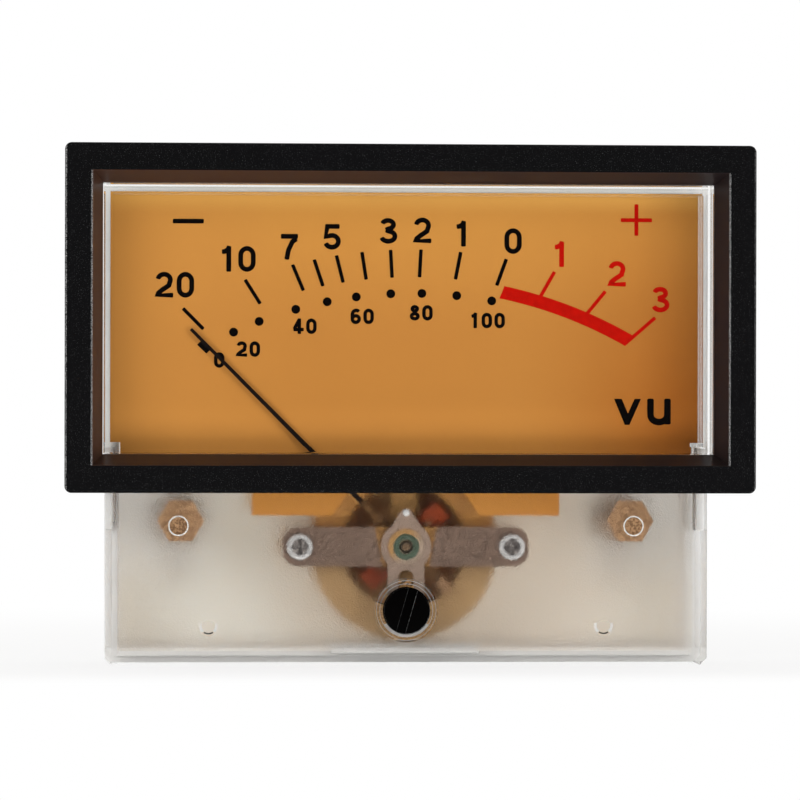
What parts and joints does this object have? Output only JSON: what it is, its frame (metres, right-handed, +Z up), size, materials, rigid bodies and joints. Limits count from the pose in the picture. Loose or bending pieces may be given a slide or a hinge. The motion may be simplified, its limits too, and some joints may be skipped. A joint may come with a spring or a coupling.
{
  "type": "analog vu panel meter",
  "caption": "Analog VU panel meter: black bezel over a raised clear window, clear skirt with zero adjuster and moving-coil movement, swinging pointer, cream rear case with terminal studs",
  "frame": {"origin": "On the pointer's axis, in the plane of the skirt's front face, which rests against the back of the panel", "axes": "+X is the object's right seen from the front, +Y runs back into the panel, +Z is up; the window looks along -Y"},
  "size_m": [0.1, 0.045, 0.0757],
  "materials": {
    "bezel_black": "satin",
    "clear_cover": "gloss",
    "case_white": "satin",
    "dial_face": "matte",
    "bright_steel": "satin",
    "bridge_metal": "satin",
    "brass_parts": "satin",
    "yoke_iron": "satin",
    "magnet": "matte",
    "copper_wire": "gloss",
    "jewel_red": "polished",
    "spring_bronze": "polished",
    "insulation": "matte",
    "black_knob": "gloss",
    "pointer_black": "matte",
    "lever_metal": "satin",
    "lead_enamel": "satin",
    "board_green": "satin",
    "led_lens": "gloss",
    "aluminium_foil": "satin"
  },
  "bodies": {
    "housing": {"bezel": "bezel_black", "front_cover": "clear_cover", "rear_case": "case_white", "dial_plate": "dial_face", "dial_screws": "bright_steel", "dial_posts": "brass_parts", "pointer_stops": "black_knob", "front_bridge": "bridge_metal", "bridge_screws": "bright_steel", "front_spacers": "brass_parts", "rear_spacers": "brass_parts", "front_bushing": "brass_parts", "front_jewel_screw": "brass_parts", "rear_jewel_screw": "brass_parts", "pivot_jewels": "jewel_red", "yoke_ring": "yoke_iron", "core_magnet": "magnet", "core_holder": "bridge_metal", "movement_frame": "bridge_metal", "rear_hairspring": "spring_bronze", "rear_spring_tag": "brass_parts", "tag_insulator": "insulation", "terminal_pillars": "brass_parts", "terminal_washers": "bright_steel", "solder_lugs": "brass_parts", "terminal_nuts": "bright_steel", "terminal_leads": "lead_enamel", "backlight_board": "board_green", "board_screws": "bright_steel", "backlight_leds": "led_lens", "backlight_pins": "brass_parts"},
    "zero_screw": {"zero_screw": "black_knob"},
    "zero_lever": {"zero_lever": "lever_metal", "front_hairspring": "spring_bronze"},
    "moving_coil": {"pointer": "pointer_black", "balance_weights": "brass_parts", "coil_former": "aluminium_foil", "coil_winding": "copper_wire", "pivot_staffs": "bright_steel", "spring_collets": "brass_parts"}
  },
  "joints": [
    {"name": "zero_screw_turn", "type": "hinge", "parent": "housing", "child": "zero_screw", "pos_m": [0, 0, -0.0093], "axis": [0, 1, 0], "range_deg": [-60, 60]},
    {"name": "zero_lever_swing", "type": "hinge", "parent": "housing", "child": "zero_lever", "pos_m": [0, 0, 0], "axis": [0, 1, 0], "range_deg": [-5.9, 5.9]},
    {"name": "pointer_swing", "type": "hinge", "parent": "zero_lever", "child": "moving_coil", "pos_m": [0, 0, 0], "axis": [0, 1, 0], "range_deg": [-3, 94], "stiffness_Nm_per_rad": 0.000025}
  ],
  "couplings": [
    {"joint": "zero_lever_swing", "follows": "zero_screw_turn", "ratio": -0.098}
  ]
}
